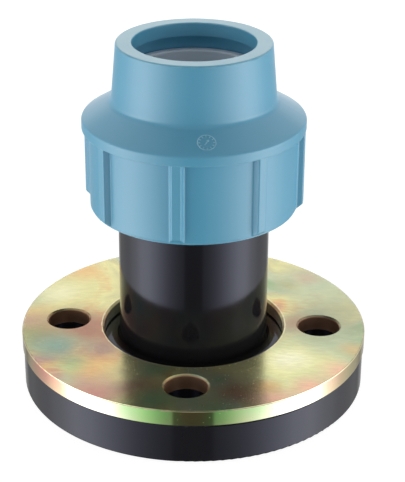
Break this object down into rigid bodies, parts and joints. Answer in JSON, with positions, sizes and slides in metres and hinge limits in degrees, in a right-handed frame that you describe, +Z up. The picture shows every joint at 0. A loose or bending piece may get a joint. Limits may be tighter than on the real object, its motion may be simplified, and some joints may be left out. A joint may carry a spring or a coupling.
{
  "type": "flanged compression adaptor",
  "caption": "Flanged adaptor for plastic pipe: a bolting flange with a steel backing ring, a plain tube, and a ribbed union nut that grips and seals the pipe.",
  "frame": {"origin": "centre of the sealing face under the flange, on the pipe's axis", "axes": "+Z up the pipe's axis towards the nut's mouth; the bolt holes lie on the X and Y axes"},
  "size_m": [0.15, 0.15, 0.1527],
  "materials": {
    "black_polypropylene": "glossy moulded black polypropylene",
    "yellow_zinc_steel": "turned steel, zinc plated and yellow passivated",
    "blue_polypropylene": "satin moulded blue polypropylene",
    "pale_acetal": "moulded pale acetal",
    "black_bush_plastic": "moulded black polypropylene",
    "seal_rubber": "moulded nitrile rubber"
  },
  "bodies": {
    "adaptor_body": {"body": "black_polypropylene", "backing_ring": "yellow_zinc_steel", "pressing_bush": "black_bush_plastic", "o_ring": "seal_rubber"},
    "grip_carrier": {"grip_ring": "pale_acetal"},
    "nut": {"union_nut": "blue_polypropylene"}
  },
  "joints": [
    {"name": "nut_rise", "type": "slide", "parent": "adaptor_body", "child": "grip_carrier", "axis": [0, 0, 1], "range_m": [0, 0.01501]},
    {"name": "nut_turn", "type": "hinge", "parent": "grip_carrier", "child": "nut", "pos_m": [0, 0, 0.1], "axis": [0, 0, 1], "range_deg": [0, 900]}
  ],
  "couplings": [
    {"joint": "nut_rise", "follows": "nut_turn", "m_per_rad": 0.00095493}
  ]
}
